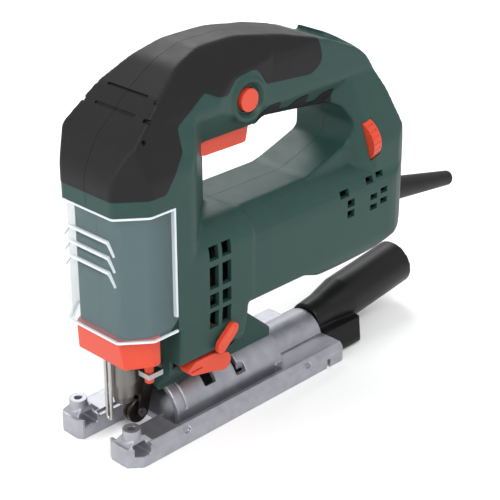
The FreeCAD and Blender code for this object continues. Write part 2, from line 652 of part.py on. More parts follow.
def plunger():
    """Rod, bushes, yoke, and the blade clamp's core and turning collar."""
    blade = ("blade_x", 0)
    node(cylinder("plunger_rod", "rod_radius", "rod_high - rod_low", blade + ("rod_low",)), "plunger_rod")
    tube("lower_bush", "rod_radius + running", "bush_radius", "low_bush_height", blade + ("low_bush_z",))
    tube("upper_bush", "rod_radius + running", "bush_radius", "high_bush_height", blade + ("high_bush_z",))
    pin_z = gear_centre() - d.crank_radius
    plate = slab((-57, -20, pin_z - 10), (-52.2, 20, pin_z + 10))
    hub = slab((-65.8, -7, pin_z - 10), (-57, 7, pin_z + 10))
    slot = prism([(-17.2, pin_z - 6.1, 6), (17.2, pin_z - 6.1, 6), (17.2, pin_z + 6.1, 6),
                  (-17.2, pin_z + 6.1, 6)], "X", -57.5, -50)
    bore = rod((d.blade_x, 0, 60), (d.blade_x, 0, 150), d.rod_radius)
    feature("yoke", joined([plate, hub]).cut([slot, bore]).removeSplitter())
    core = cylinder("core", "core_radius", "collar_high - collar_low + 0.3", blade + ("collar_low - 0.3",))
    nose = cylinder("clamp_nose", 6.8, 7.6, blade + ("collar_low - 7.9",))
    tip = cone("clamp_tip", 5.2, 6.1, "collar_low - 7.9 - nose_low", blade + ("nose_low",))
    seat = cylinder("rod_seat", "rod_radius", 40, blade + ("rod_low",))
    shank = block("shank_slot", (7.8, 1.8, 22), ("blade_x - 3.9", -0.9, "nose_low - 1"))
    whole = fuse("clamp_whole", [core, nose, tip])
    node(cut("blade_clamp", whole, [seat, shank]), "blade_clamp")
    tube("clamp_collar", "core_radius + running", "collar_radius", "collar_high - collar_low",
         blade + ("collar_low",))


# ---- motor ---------------------------------------------------------------------------


def motor():
    """Armature, fan, commutator, stator, and the brush gear on both sides of the commutator."""
    axis = (0, "motor_z")
    tube("armature_core", "shaft_radius", "armature_radius", "core_length", ("core_front",) + axis, "X")
    front = tube_shape(d.core_front - 8, 8, d.shaft_radius, 13.5)
    rear = tube_shape(d.core_front + d.core_length, 8, d.shaft_radius, 13.5)
    feature("armature_windings", Part.makeCompound([front, rear]))
    bars = tube_shape(d.commutator_front, d.commutator_length, d.shaft_radius, d.commutator_radius)
    cuts = []
    for k in range(18):
        bar = slab((d.commutator_front + 2, -0.3, d.commutator_radius - 0.7),
                   (d.commutator_front + 20, 0.3, d.commutator_radius + 1))
        bar.rotate(Vector(), Vector(1, 0, 0), 20 * k)
        bar.translate(Vector(0, 0, d.motor_z))
        cuts.append(bar)
    feature("commutator", bars.cut(cuts))
    feature("cooling_fan", fan())
    stator = prism(stator_outline(), "X", d.core_front, d.core_front + d.core_length)
    stator = stator.cut(rod((-10, 0, d.motor_z), (60, 0, d.motor_z), d.stator_bore))
    feature("stator_core", stator)
    coils = []
    for side in (-1, 1):
        for x in (d.core_front - 7, d.core_front + d.core_length):
            ring = tube_shape(x, 7, 17.5, 22).common(
                slab((x - 1, -30, d.motor_z + 3 if side > 0 else 60), (x + 9, 30, 120 if side > 0 else
                                                                        d.motor_z - 3)))
            coils.append(ring)
    feature("stator_coils", Part.makeCompound(coils))
    brush_gear()


def tube_shape(x, length, inner, outer):
    """A ring about the motor's axis."""
    return rod((x, 0, d.motor_z), (x + length, 0, d.motor_z), outer).cut(
        rod((x - 1, 0, d.motor_z), (x + length + 1, 0, d.motor_z), inner))


def fan():
    """Back plate, hub and swept blades of the cooling fan."""
    x, wide, radius = d.fan_front, d.fan_width, d.fan_radius
    parts = [tube_shape(x + wide - 1.6, 1.6, d.shaft_radius, radius), tube_shape(x, wide, d.shaft_radius, 8)]
    for k in range(9):
        blade = slab((x, -0.8, 7.5), (x + wide - 1, 0.8, radius - 0.3))
        blade.rotate(Vector(0, 0, 7.5), Vector(1, 0, 0), 22)
        blade.rotate(Vector(), Vector(1, 0, 0), 40 * k)
        blade.translate(Vector(0, 0, d.motor_z))
        parts.append(blade.common(rod((x - 1, 0, d.motor_z), (x + 20, 0, d.motor_z), radius)))
    return joined(parts)


def brush_gear():
    """Brass holders, carbon brushes and coil springs, left and right."""
    holders, brushes, springs = [], [], []
    middle = d.commutator_front + d.commutator_length / 2
    for side in (-1, 1):
        near, far = side * (d.commutator_radius + 2), side * 27.5
        low, high = min(near, far), max(near, far)
        holder = slab((middle - 5.5, low, d.motor_z - 4), (middle + 5.5, high, d.motor_z + 4))
        hollow = slab((middle - 4, low - 1 if side > 0 else low + 1.5, d.motor_z - 2.5),
                      (middle + 4, high + 1 if side < 0 else high - 1.5, d.motor_z + 2.5))
        holders.append(holder.cut(hollow))
        inner, outer = side * (d.commutator_radius + 0.3), side * 20.5
        brushes.append(slab((middle - 4, min(inner, outer), d.motor_z - 2.5),
                            (middle + 4, max(inner, outer), d.motor_z + 2.5)))
        springs.append(coil(2.0, 0.45, 5.2, 3, Vector(middle, side * 20.7, d.motor_z), "Y" if side > 0
                            else "-Y"))
    feature("brush_holders", Part.makeCompound(holders))
    feature("carbon_brushes", Part.makeCompound(brushes))
    feature("brush_springs", Part.makeCompound(springs))


def coil(radius, wire, length, turns, base, along):
    """A round-wire compression spring that starts at base."""
    helix = Part.makeHelix(length / turns, length - 2 * wire, radius)
    ring = Part.Wire([Part.Circle(Vector(radius, 0, 0), Vector(0, 1, 0.001), wire).toShape()])
    spring = Part.Wire(helix.Edges).makePipeShell([ring], True, True)
    spring.translate(Vector(0, 0, wire))
    spring.Placement = Placement(base, TURN[along]).multiply(spring.Placement)
    return spring


# ---- lower mechanisms -------------------------------------------------------------------


def orbital_fork():
    """Bent fork that holds the guide roller, with a tail that rests over the selector's cam."""
    side = [(-56.4, 8.2, 3), (-48.8, 8.2, 3), (-43.6, 27, 3), (-37, 42, 2), (-37, 59.2, 1), (-11, 59.2, 1),
            (-11, 62.4, 1), (-44, 62.4, 5), (-48, 44, 5), (-51.5, 26, 4)]
    half = d.fork_half_width
    fork = prism(side, "Y", -half, half)
    gap = slab((-62, -3, 0), (-40, 3, 21))
    pivot = rod((d.fork_x, -10, d.fork_z), (d.fork_x, 10, d.fork_z), 2.5 + d.running)
    axle = rod((d.roller_x, -10, d.roller_z), (d.roller_x, 10, d.roller_z), 1.5)
    feature("orbital_fork", fork.cut([gap, pivot, axle]).removeSplitter())
    node(cylinder("fork_pin", 2.5, 12, ("fork_x", -6, "fork_z"), "Y"), "fork_pin")
    pin = cylinder("axle_pin", 1.5, "fork_half_width * 2", ("roller_x", "-fork_half_width", "roller_z"), "Y")
    heads = [cylinder(f"axle_head_{k}", 2.6, 0.8, ("roller_x", y, "roller_z"), "Y")
             for k, y in enumerate(("-fork_half_width - 0.8", "fork_half_width"))]
    node(fuse("roller_axle", [pin] + heads), "roller_axle")


def guide_roller():
    """Grooved steel roller behind the blade, turned in one piece."""
    half, radius = d.roller_width / 2, d.roller_radius
    bore = 1.5 + d.running
    roller = body_with("guide_roller")
    profile = [(bore, -half), (radius - 0.5, -half), (radius, -half + 0.5), (radius, -0.7),
               (radius - 1.2, 0), (radius, 0.7), (radius, half - 0.5), (radius - 0.5, half), (bore, half)]
    corners = [Vector(a, b, 0) for a, b in profile]
    pieces = [Part.LineSegment(a, b) for a, b in zip(corners, corners[1:] + corners[:1])]
    turned = sketch(roller, "roller_profile", "XY_Plane", pieces)
    spin = roller.newObject("PartDesign::Revolution", "roller_turned")
    spin.Profile = turned
    spin.ReferenceAxis = (turned, ["V_Axis"])
    spin.Angle = 360
    for path, alias in (("x", "roller_x"), ("z", "roller_z")):
        bind(roller, "Placement.Base." + path, alias)


def orbital_selector():
    """Oval knob outside, shaft through the wall and an eccentric cam under the fork's tail."""
    x, z = d.knob_x, d.knob_z
    reach = [(-8.4, -5.8, 2), (-4.9, -7.6, 3), (6.8, 2.6, 5), (7.2, 6.8, 3), (3.2, 8.6, 3), (-7.8, -0.6, 5)]
    knob = prism([(x + a, z + b, r) for a, b, r in reach], "Y", -34.6, -31.6)
    crest = prism([(x + a, z + b, r) for a, b, r in reach], "Y", -35.4, -34.6, 1.6)
    shaft = rod((x, -32, z), (x, -7, z), d.knob_shaft)
    cam = rod((x - 0.3, -7, z - 0.6), (x - 0.3, 3.5, z - 0.6), 2.8)
    return feature("orbital_selector", joined([knob, crest, shaft, cam]))


def tilt_clamp():
    """Lever with its cross shaft, and the bolt that pulls the saddle nut up inside the barrel."""
    x, z = d.tilt_lever_x, d.tilt_lever_z
    eye = rod((x, -28.6, z), (x, -21.1, z), 5.4)
    arm = prism([(x - 1, z + 5.3), (x - 7.4, z + 8.4, 2), (x - 21.5, z + 8.6, 2), (x - 27, z + 5, 1),
                 (x - 24.5, z + 1, 2), (x - 10.4, z - 2, 4), (x - 4, z - 3.8)], "Y", -29.4, -21.1, 0)
    notch = slab((x - 25, -30, z + 3), (x - 17, -28.2, z + 4))
    arm = arm.fuse(eye).cut(notch)
    shaft = rod((x, -22, z), (x, 13, z), d.cross_radius)
    feature("tilt_clamp_lever", joined([arm, shaft]))
    eye = rod((x, -5, z), (x, 5, z), 6.4)
    stem = rod((x, 0, 15), (x, 0, z), d.bolt_radius)
    saddle = rod((x - 7.5, 0, d.tilt_z), (x + 7.5, 0, d.tilt_z), d.barrel_bore - 0.3).cut(
        rod((x - 9, 0, d.tilt_z), (x + 9, 0, d.tilt_z), 14.5)).common(slab((x - 9, -8, 15), (x + 9, 8, 40)))
    nut = rod((x, 0, 16), (x, 0, 22), 6)
    bolt = joined([eye, stem, saddle, nut]).cut(
        rod((x, -20, z), (x, 20, z), d.cross_radius + d.running))
    feature("tilt_clamp_bolt", bolt)


def release_lever():
    """Wrap-round lever under the guard that turns on an upright post to free the blade."""
    outside = [(-77, -17, 3), (-62, -26.5, 3), (-56.5, -26.5, 2), (-53.8, -19, 2), (-53.8, -14.5, 1),
               (-60, -14.5, 1), (-60, -20.5, 2), (-72.6, -13.5, 2), (-72.6, 14, 2), (-64, 20.5, 2),
               (-64, 25, 1), (-77, 17, 3)]
    band = prism(outside, "Z", 52.5, 69.6)
    lean = [(-78, 50), (-74.8, 50), (-77, 71), (-78, 71)]
    band = band.cut(prism(lean, "Y", -40, 40))
    post = rod((d.post_x, d.post_y, 38), (d.post_x, d.post_y, 71.5), d.post_radius)
    feature("release_lever", joined([band, post]))
    shelf = slab((-60.5, -20.8, 41.5), (-50.5, -12.5, 44.5))
    bracket = shelf.fuse(slab((-51, -15.5, 41.5), (-44.5, -12.5, 44.5)))
    bracket = bracket.cut(rod((d.post_x, d.post_y, 38), (d.post_x, d.post_y, 50),
                              d.post_radius + d.running))
    feature("release_bracket", bracket)


def wire_guard():
    """U-shaped wire that keeps a finger off the blade."""
    x, y, low = d.wire_x, d.wire_y, 14 + d.wire_y
    bend = Part.makeTorus(y, d.wire_radius, Vector(x, 0, low), Vector(1, 0, 0))
    bend = bend.common(slab((x - 3, -5, low - 5), (x + 3, 5, low)))
    legs = [rod((x, side * y, low), (x, side * y, 73), d.wire_radius) for side in (-1, 1)]
    feature("wire_guard", joined([bend] + legs))


def cord_sleeve():
    """Tapered bend-protection sleeve with a collar inside the housing and a bore for the cord."""
    droop = math.radians(d.sleeve_droop)
    way = Vector(math.cos(droop), 0, -math.sin(droop))
    start = Vector(d.sleeve_x, 0, d.sleeve_z)
    taper = Part.makeCone(d.sleeve_root_radius, d.sleeve_tip_radius, d.sleeve_length, start, way)
    collar = Part.makeCylinder(12, 4, start - way * 4, way)
    bore = Part.makeCylinder(d.cord_radius, d.sleeve_length + 10, start - way * 5, way)
    feature("cord_sleeve", joined([taper, collar]).cut(bore))
    clamp = slab((122, -13, 88.2), (129, 13, 91.5)).fuse(slab((122, -13, 76.4), (129, 13, 80.2)))
    feature("cord_clamp", clamp)
    screws = [rod((125.5, side * 9.5, 74.5), (125.5, side * 9.5, 92), 1.5).fuse(
        rod((125.5, side * 9.5, 91.5), (125.5, side * 9.5, 93.3), 2.8)) for side in (-1, 1)]
    feature("cord_clamp_screws", Part.makeCompound(screws))


def dust_nozzle():
    """Tapered neck and straight tube on a leaning axis, a winged flange and a spigot for the duct."""
    lean = math.radians(d.nozzle_lean)
    way = Vector(math.cos(lean), 0, math.sin(lean))
    start = Vector(d.nozzle_x, 0, d.nozzle_z)
    throat = start + way * d.nozzle_neck
    straight = d.nozzle_length - d.nozzle_neck
    neck = Part.makeCone(11.5, d.nozzle_radius, d.nozzle_neck, start, way)
    main_tube = Part.makeCylinder(d.nozzle_radius, straight, throat, way)
    root = Part.makeLoft([
        Part.Wire([Part.Circle(Vector(84, 0, 13.6), Vector(1, 0, 0), 11).toShape()]),
        Part.Wire([Part.Circle(start, way, 11.5).toShape()])], True)
    flange = prism([(83.4, -26, 0), (105.6, -26, 0), (114.6, -17, 0), (114.6, 17, 0), (105.6, 26, 0),
                    (83.4, 26, 0)], "Z", 1.5, 12)
    bevel = [prism([(s * 26.5, 4), (s * 26.5, 13), (s * 17, 13)], "X", 80, 120) for s in (-1, 1)]
    spigot = barrel(d.duct_bore - 0.3, 3.4, 77, 86)
    outside = joined([neck, main_tube, root, flange.cut(bevel), spigot])
    hollow = [
        Part.makeCylinder(d.nozzle_bore, straight + 1, throat, way),
        Part.makeCone(9.2, d.nozzle_bore, d.nozzle_neck, start, way),
        Part.makeLoft([Part.Wire([Part.Circle(Vector(84, 0, 12.4), Vector(1, 0, 0), 7.6).toShape()]),
                       Part.Wire([Part.Circle(start, way, 9.2).toShape()])], True),
        rod((76, 0, 11.6), (84, 0, 11.6), 6.8),
    ]
    feature("dust_nozzle", largest(outside.cut(hollow).removeSplitter()))


# ---- controls --------------------------------------------------------------------------------


def trigger():
    """Finger trigger hinged at its front end."""
    side = [(-10.8, 150.8, 3), (-5.5, 149.6, 6), (24.4, 149.2, 2), (26.2, 158, 2), (26.2, 162.4, 1),
            (0, 162.4, 2), (-1.5, 170, 3), (-9.8, 170, 3), (-10.8, 161, 3)]
    body = prism(side, "Y", -8.7, 8.7)
    hollow = slab((1.5, -6.5, 153), (23.5, 6.5, 170))
    pin = rod((d.trigger_x, -12, d.trigger_z), (d.trigger_x, 12, d.trigger_z), 1.5)
    feature("trigger", joined([body.cut(hollow), pin]))
    feature("trigger_spring", coil(3.4, 0.5, 15.6, 6, Vector(17, 0, 153.1), "Z"))
    box = slab((4, -9.5, 169), (34, 9.5, 187)).fuse(rod((8, 0, 164), (8, 0, 170), 2.4))
    feature("switch_module", box)


def lock_button():
    """Round lock-on button in the grip's left side."""
    head = cylinder("button_head", "button_radius", 8.5, ("button_x", "button_face", "button_z"), "Y")
    flange = cylinder("button_flange", "button_radius + 1.5", 1.2, ("button_x", -16.2, "button_z"), "Y")
    node(fuse("lock_button", [head, flange]), "lock_button")
    feature("lock_spring", coil(2.6, 0.35, 2.2, 2, Vector(d.button_x, -14.9, d.button_z), "Y"))


def speed_wheel():
    """Ribbed thumbwheel with its spindle, and the control it turns."""
    disc = Part.makeCylinder(d.wheel_radius, d.wheel_width, Vector(0, 0, -d.wheel_width / 2))
    cuts = []
    for k in range(24):
        notch = Part.makeCylinder(0.7, d.wheel_width + 2, Vector(d.wheel_radius + 0.25, 0, -d.wheel_width))
        notch.rotate(Vector(), Vector(0, 0, 1), 15 * k)
        cuts.append(notch)
    spindle = Part.makeCylinder(2.5, 7, Vector(0, 0, d.wheel_width / 2 - 1))
    feature("speed_wheel", joined([disc.cut(cuts), spindle]), wheel_placement())
    control = Part.makeBox(14, 12, 7, Vector(-7, -6, d.wheel_width / 2 + 1))
    control = control.cut(Part.makeCylinder(2.5 + d.running, 20))
    feature("speed_control", control, wheel_placement())
    feature("electronics_module", slab((92, -17, 76), (116, 17, 102)))


def all_parts():
    sole_plate()
    housing()
    housing_screws()
    chip_guard()
    gear_train()
    gear_case()
    plunger()
    motor()
    orbital_fork()
    guide_roller()
    orbital_selector()
    tilt_clamp()
    release_lever()
    wire_guard()
    cord_sleeve()
    dust_nozzle()
    trigger()
    lock_button()
    speed_wheel()


def check_and_write():
    """Stop on anything that failed, then write each sub-part's shape to its own file."""
    os.makedirs("parts", exist_ok=True)
    for item in doc.Objects:
        bad = {"Invalid", "Error"} & set(item.State)
        if bad:
            raise RuntimeError(f"{item.Label} is {sorted(bad)}")
    for item in NODES:
        if item.Shape.isNull() or not item.Shape.isValid() or not item.Shape.Solids:
            raise RuntimeError(f"{item.Label} has no valid solid shape")
        item.Shape.exportStep(f"parts/{item.Label}.step")
        solids = len(item.Shape.Solids)
        print(f"{item.Label}: {item.Shape.Volume / 1000:.2f} cm3, {solids} solid(s)")


all_parts()
doc.recompute()
check_and_write()
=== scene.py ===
"""Looks of a corded jigsaw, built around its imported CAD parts."""

import json
import math
import bmesh
import bpy
from mathutils import Matrix, Vector


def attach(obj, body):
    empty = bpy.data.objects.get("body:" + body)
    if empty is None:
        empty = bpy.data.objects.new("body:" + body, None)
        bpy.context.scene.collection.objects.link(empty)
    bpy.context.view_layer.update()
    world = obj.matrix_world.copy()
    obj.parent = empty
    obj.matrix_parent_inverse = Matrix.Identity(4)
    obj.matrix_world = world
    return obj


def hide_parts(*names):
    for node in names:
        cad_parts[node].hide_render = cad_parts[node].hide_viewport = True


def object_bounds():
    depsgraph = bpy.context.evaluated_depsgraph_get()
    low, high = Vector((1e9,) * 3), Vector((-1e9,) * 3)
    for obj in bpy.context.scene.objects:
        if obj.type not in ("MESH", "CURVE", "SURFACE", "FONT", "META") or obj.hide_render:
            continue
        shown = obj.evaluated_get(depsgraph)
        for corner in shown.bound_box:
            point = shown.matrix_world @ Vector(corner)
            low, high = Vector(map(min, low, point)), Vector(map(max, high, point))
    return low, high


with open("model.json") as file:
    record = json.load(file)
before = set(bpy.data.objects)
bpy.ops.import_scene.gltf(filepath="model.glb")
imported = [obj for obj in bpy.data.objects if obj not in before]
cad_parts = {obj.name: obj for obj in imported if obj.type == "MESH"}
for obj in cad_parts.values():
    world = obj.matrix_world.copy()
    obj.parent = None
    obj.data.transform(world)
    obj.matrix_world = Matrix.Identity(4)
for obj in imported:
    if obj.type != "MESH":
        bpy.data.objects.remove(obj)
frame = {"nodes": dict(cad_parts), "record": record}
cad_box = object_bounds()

MM = 0.001
NODES = frame["nodes"]

# ---- sizes, in millimetres, in the part's own frame ---------------------------

HALF_WIDTH = 31.5
BODY_HALF = 31
GRIP_HALF = 20.5
WALL = 2.8
SEAM = 0.1
COVER_RISE = 0.25
PAD_RISE = 0.35
TILT_Z = 7.2
BARREL_RADIUS = 21.6
GUARD_LOW, GUARD_HIGH, GUARD_REAR, GUARD_RECESS = 70.3, 140.7, -48.3, 6.0
LOUVRES = (126.0, 117.5, 109.1)
BLADE_X = -61
BUTTON = (12.6, 179.5, 6.8)
BUTTON_FACE = -23.5
WHEEL = (107.5, -17, 131.5)
WHEEL_LEAN = 12.8
POST = (-57, -17)
TRIGGER_SLOT = ((-11.3, -9.2, 147), (27.3, 9.2, 172))
WHEEL_POCKET = (3.7, 15.6)
VENT_INNER, VENT_OUTER = 20, 45

# Side outlines (x, z, corner radius) of the zones that make up the housing.
COLUMN = [(-80, 70.3, 0), (-80, 160, 24), (-71, 176.5, 20), (-50, 195, 40), (-32, 206.5, 30),
          (-14, 212, 20), (-1, 212, 0), (-1, 70.3, 0)]
BASE = [(-80, 70.3, 0), (-80, 121, 0), (8, 121, 0), (8, 70.3, 0)]
MOTOR = [(-30, 67, 0), (50, 67, 15), (66, 60, 12), (86, 58, 15), (113, 62, 20), (134, 69.5, 14),
         (146, 84, 16), (145, 104, 25), (137, 126, 0), (90, 130, 0), (62, 120.5, 15), (-30, 120.5, 0)]
GRIP_TOP = [(-50, 195, 0), (-32, 206.5, 30), (-14, 212, 40), (12, 212, 50), (44, 206.3, 80),
            (76, 197.5, 60), (107, 184.5, 34), (125, 158, 40), (136, 134, 30)]
GRIP = [(-50, 159.5, 0)] + GRIP_TOP + [(144, 110, 0), (144, 100, 0), (60, 100, 0), (60, 150, 0),
                                       (28, 150, 0), (28, 159.5, 0)]
SHOULDER = [(-50, 159.5, 0)] + GRIP_TOP[:5] + [(44, 159.5, 0)]
LEG = [(84, 100, 0), (84, 198, 0), (107, 184.5, 34), (125, 158, 40), (136, 134, 30), (145, 106, 0),
       (145, 100, 0)]
SKIRT = [(-46, 24, 0), (-46, 80, 0), (4, 80, 0), (4, 62, 6), (0, 43, 8), (-6, 24, 0)]
SADDLE = [(-46, 24, 0), (-46, 62, 0), (2, 62, 0), (25, 45, 20), (41.5, 30.5, 0), (41.5, 22, 0), (-46, 22, 0)]
LOOP = [(-1, 120.5, 7), (61, 120.5, 25), (78, 126, 15), (95, 132, 8), (98, 143, 9), (92, 155, 9),
        (72, 158, 20), (30, 164.4, 3), (28.5, 159.5, 0), (-1, 159.5, 6)]
WAVES = [(27, 150, 0), (27, 166.5, 0), (31.6, 170.6, 4), (40, 170.5, 1), (41.2, 165.6, 2), (50.6, 163.6, 2),
         (54, 168, 4), (63, 168.7, 1), (64.7, 161.9, 2), (73.1, 161, 2), (76.5, 165.5, 4), (85.5, 166.2, 1),
         (87.3, 158.4, 0), (87.3, 150, 0)]
COVER_EDGE = [(-90, 149.5, 0), (-54.7, 149.5, 3), (-41, 167.7, 3), (-41.5, 180, 3), (-20, 192, 3),
              (-11.5, 187.7, 4), (-4, 186.5, 4), (4, 193.5, 8), (20, 195, 9), (28, 184, 3),
              (62, 181, 8), (72, 186, 8), (68, 200, 6), (68, 225, 0), (-90, 225, 0)]
COLUMN_NOSE = [(-65, -HALF_WIDTH, 4), (-80, -19.5, 3), (-80, 19.5, 3), (-65, HALF_WIDTH, 4)]
COLUMN_PLAN = COLUMN_NOSE + [(-34, HALF_WIDTH, 14), (-2.5, 3, 2), (-2.5, -3, 2), (-34, -HALF_WIDTH, 14)]
BASE_PLAN = COLUMN_NOSE + [(12, HALF_WIDTH, 6), (12, -HALF_WIDTH, 6)]
MOTOR_PLAN = [(-31, -BODY_HALF, 0), (147, -BODY_HALF, 24), (147, BODY_HALF, 24), (-31, BODY_HALF, 0)]
LEG_PLAN = [(80, -8, 0), (84, -10, 0), (106, -29.5, 25), (146, -29.5, 22), (146, 29.5, 22), (106, 29.5, 25),
            (84, 10, 0), (80, 8, 0)]
SHOULDER_PLAN = [(-50, -HALF_WIDTH, 0), (-37, -HALF_WIDTH, 20), (2, -22.5, 20), (32, -GRIP_HALF, 5),
                 (36, -17, 0), (36, 17, 0), (32, GRIP_HALF, 5), (2, 22.5, 20), (-37, HALF_WIDTH, 20),
                 (-50, HALF_WIDTH, 0)]


def mirrored(half):
    """A half outline closed by its mirror image in the second axis."""
    return half + [(-a, b, r) for a, b, r in reversed(half)]


COLUMN_FRONT = mirrored([(-HALF_WIDTH, 60, 0), (-HALF_WIDTH, 158, 25), (-23, 194, 20), (-12, 213.5, 8)])
BASE_FRONT = mirrored([(-HALF_WIDTH, 60, 0), (-HALF_WIDTH, 121, 16)])
MOTOR_FRONT = mirrored([(-BODY_HALF, 56, 16), (-BODY_HALF, 122, 20)])
GRIP_FRONT = mirrored([(-GRIP_HALF, 99, 0), (-GRIP_HALF, 138, 6), (-10.5, 150, 4), (-11.5, 158.5, 3),
                       (-GRIP_HALF, 172, 10), (-GRIP_HALF, 213, 19)])
SHOULDER_FRONT = mirrored([(-11, 140, 0), (-11.5, 158.5, 2), (-26.5, 181, 10), (-23, 194, 20),
                           (-12, 213.5, 8)])
LEG_FRONT = mirrored([(-29, 99, 0), (-29, 128, 20), (-GRIP_HALF, 170, 20), (-12, 204, 8)])
SKIRT_FRONT = mirrored([(-10.5, 20, 0), (-10.5, 26.5, 0), (-30.5, 49, 4), (-31.5, 81, 0)])
SADDLE_FRONT = mirrored([(-11.5, 20, 0), (-11.5, 36, 3), (-9.5, 66, 0)])
ZONES = [
    (COLUMN, COLUMN_FRONT, COLUMN_PLAN),
    (BASE, BASE_FRONT, BASE_PLAN),
    (MOTOR, MOTOR_FRONT, MOTOR_PLAN),
    (GRIP, GRIP_FRONT, None),
    (SHOULDER, SHOULDER_FRONT, SHOULDER_PLAN),
    (LEG, LEG_FRONT, LEG_PLAN),
    (SKIRT, SKIRT_FRONT, None),
    (SADDLE, SADDLE_FRONT, None),
]


# ---- mesh helpers ------------------------------------------------------------


def rounded(corners, steps=7):
    """Points of an outline whose corners (a, b, radius) are turned into arcs."""
    points = []
    count = len(corners)
    for i, (a, b, radius) in enumerate(corners):
        here = Vector((a, b))
        back = Vector(corners[i - 1][:2]) - here
        ahead = Vector(corners[(i + 1) % count][:2]) - here
        half = back.angle(ahead) / 2
        if radius == 0 or abs(half - math.pi / 2) < 0.001:
            points.append(here)
            continue
        reach = min(radius / math.tan(half), 0.49 * back.length, 0.49 * ahead.length)
        radius = reach * math.tan(half)
        start, end = here + back.normalized() * reach, here + ahead.normalized() * reach
        middle = here + (back.normalized() + ahead.normalized()).normalized() * (radius / math.sin(half))
        first, last = start - middle, end - middle
        turn = math.pi - 2 * half
        for k in range(steps + 1):
            share = k / steps
            mix = first * math.sin((1 - share) * turn) + last * math.sin(share * turn)
            points.append(middle + mix / math.sin(turn))
    return points


PLACES = {
    "X": lambda a, b, t: (t, a, b),
    "Y": lambda a, b, t: (a, t, b),
    "Z": lambda a, b, t: (a, b, t),
}


def add_object(name, mesh):
    piece = bpy.data.objects.new(name, mesh)
    bpy.context.scene.collection.objects.link(piece)
    return piece


def prism(corners, along, low, high):
    """An outline in millimetres extruded along an axis, as a closed object in metres."""
    points = rounded([tuple(c) + (0,) * (3 - len(c)) for c in corners])
    mesh = bpy.data.meshes.new("prism")
    work = bmesh.new()
    rings = []
    for t in (low, high):
        rings.append([work.verts.new(Vector(PLACES[along](p.x, p.y, t)) * MM) for p in points])
    work.faces.new(rings[0])
    work.faces.new(list(reversed(rings[1])))
    count = len(points)
    for i in range(count):
        j = (i + 1) % count
        work.faces.new((rings[0][j], rings[0][i], rings[1][i], rings[1][j]))
    bmesh.ops.triangulate(work, faces=work.faces)
    bmesh.ops.recalc_face_normals(work, faces=work.faces)
    work.to_mesh(mesh)
    work.free()
    return add_object("prism", mesh)


def slab(low, high):
    """A box between two corners, in millimetres."""
    return prism([(low[0], low[1]), (high[0], low[1]), (high[0], high[1]), (low[0], high[1])], "Z", low[2],
                 high[2])


def rod(start, end, radius, sides=48, end_radius=None):
    """A round bar or cone between two points, in millimetres."""
    start, end = Vector(start) * MM, Vector(end) * MM
    mesh = bpy.data.meshes.new("rod")
    work = bmesh.new()
    far = radius if end_radius is None else end_radius
    bmesh.ops.create_cone(work, cap_ends=True, segments=sides, radius1=radius * MM, radius2=far * MM,
                          depth=(end - start).length)
    turn = (end - start).to_track_quat("Z", "Y").to_matrix().to_4x4()
    work.transform(Matrix.Translation((start + end) / 2) @ turn)
    bmesh.ops.triangulate(work, faces=work.faces)
    work.to_mesh(mesh)
    work.free()
    return add_object("rod", mesh)


def drop(piece):
    mesh = piece.data
    bpy.data.objects.remove(piece)
    bpy.data.meshes.remove(mesh)


def settle(piece):
    """Apply a piece's modifiers to its mesh."""
    bpy.context.view_layer.update()
    shape = piece.evaluated_get(bpy.context.evaluated_depsgraph_get())
    mesh = bpy.data.meshes.new_from_object(shape)
    old = piece.data
    piece.modifiers.clear()
    piece.data = mesh
    bpy.data.meshes.remove(old)
    return piece


def combine(piece, other, operation, keep=False):
    """A boolean of two closed pieces; the second is dropped unless keep is set."""
    change = piece.modifiers.new("combine", "BOOLEAN")
    change.operation = operation
    change.solver = "MANIFOLD"
    change.object = other
    settle(piece)
    if not keep:
        drop(other)
    return piece


def cut(piece, *tools):
    for tool in tools:
        combine(piece, tool, "DIFFERENCE")
    return piece


def duplicate(piece, name="copy"):
    return add_object(name, piece.data.copy())


def remesh(piece, voxel, rounds=0, strength=0.5):
    """Rebuild a piece's surface in even cells and soften its edges by rounds of smoothing."""
    change = piece.modifiers.new("cells", "REMESH")
    change.mode = "VOXEL"
    change.voxel_size = voxel * MM
    if rounds:
        soft = piece.modifiers.new("soft", "SMOOTH")
        soft.factor = strength
        soft.iterations = rounds
    return settle(piece)


def grow(piece, distance):
    """Move a piece's surface along its normals."""
    change = piece.modifiers.new("grow", "DISPLACE")
    change.strength = distance * MM
    change.mid_level = 0
    return settle(piece)


def thin_out(piece, ratio):
    change = piece.modifiers.new("thin_out", "DECIMATE")
    change.ratio = ratio
    return settle(piece)


def shade(piece, angle=38):
    for face in piece.data.polygons:
        face.use_smooth = True
    piece.data.set_sharp_from_angle(angle=math.radians(angle))
    return piece


def finish_piece(piece, name, material, body, replaced=()):
    """Name a piece, give it its material and say what it rides on and stands for."""
    piece.name = name
    piece.data.name = name
    piece.data.materials.clear()
    piece.data.materials.append(material)
    shade(piece)
    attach(piece, body)
    if replaced:
        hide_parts(*replaced)
    return piece


def node_copy(node, name):
    """A welded copy of a CAD node's mesh, closed and ready for booleans."""
    piece = add_object(name, NODES[node].data.copy())
    weld = piece.modifiers.new("weld", "WELD")
    weld.merge_threshold = 0.000002
    return settle(piece)


# ---- materials -----------------------------------------------------------------


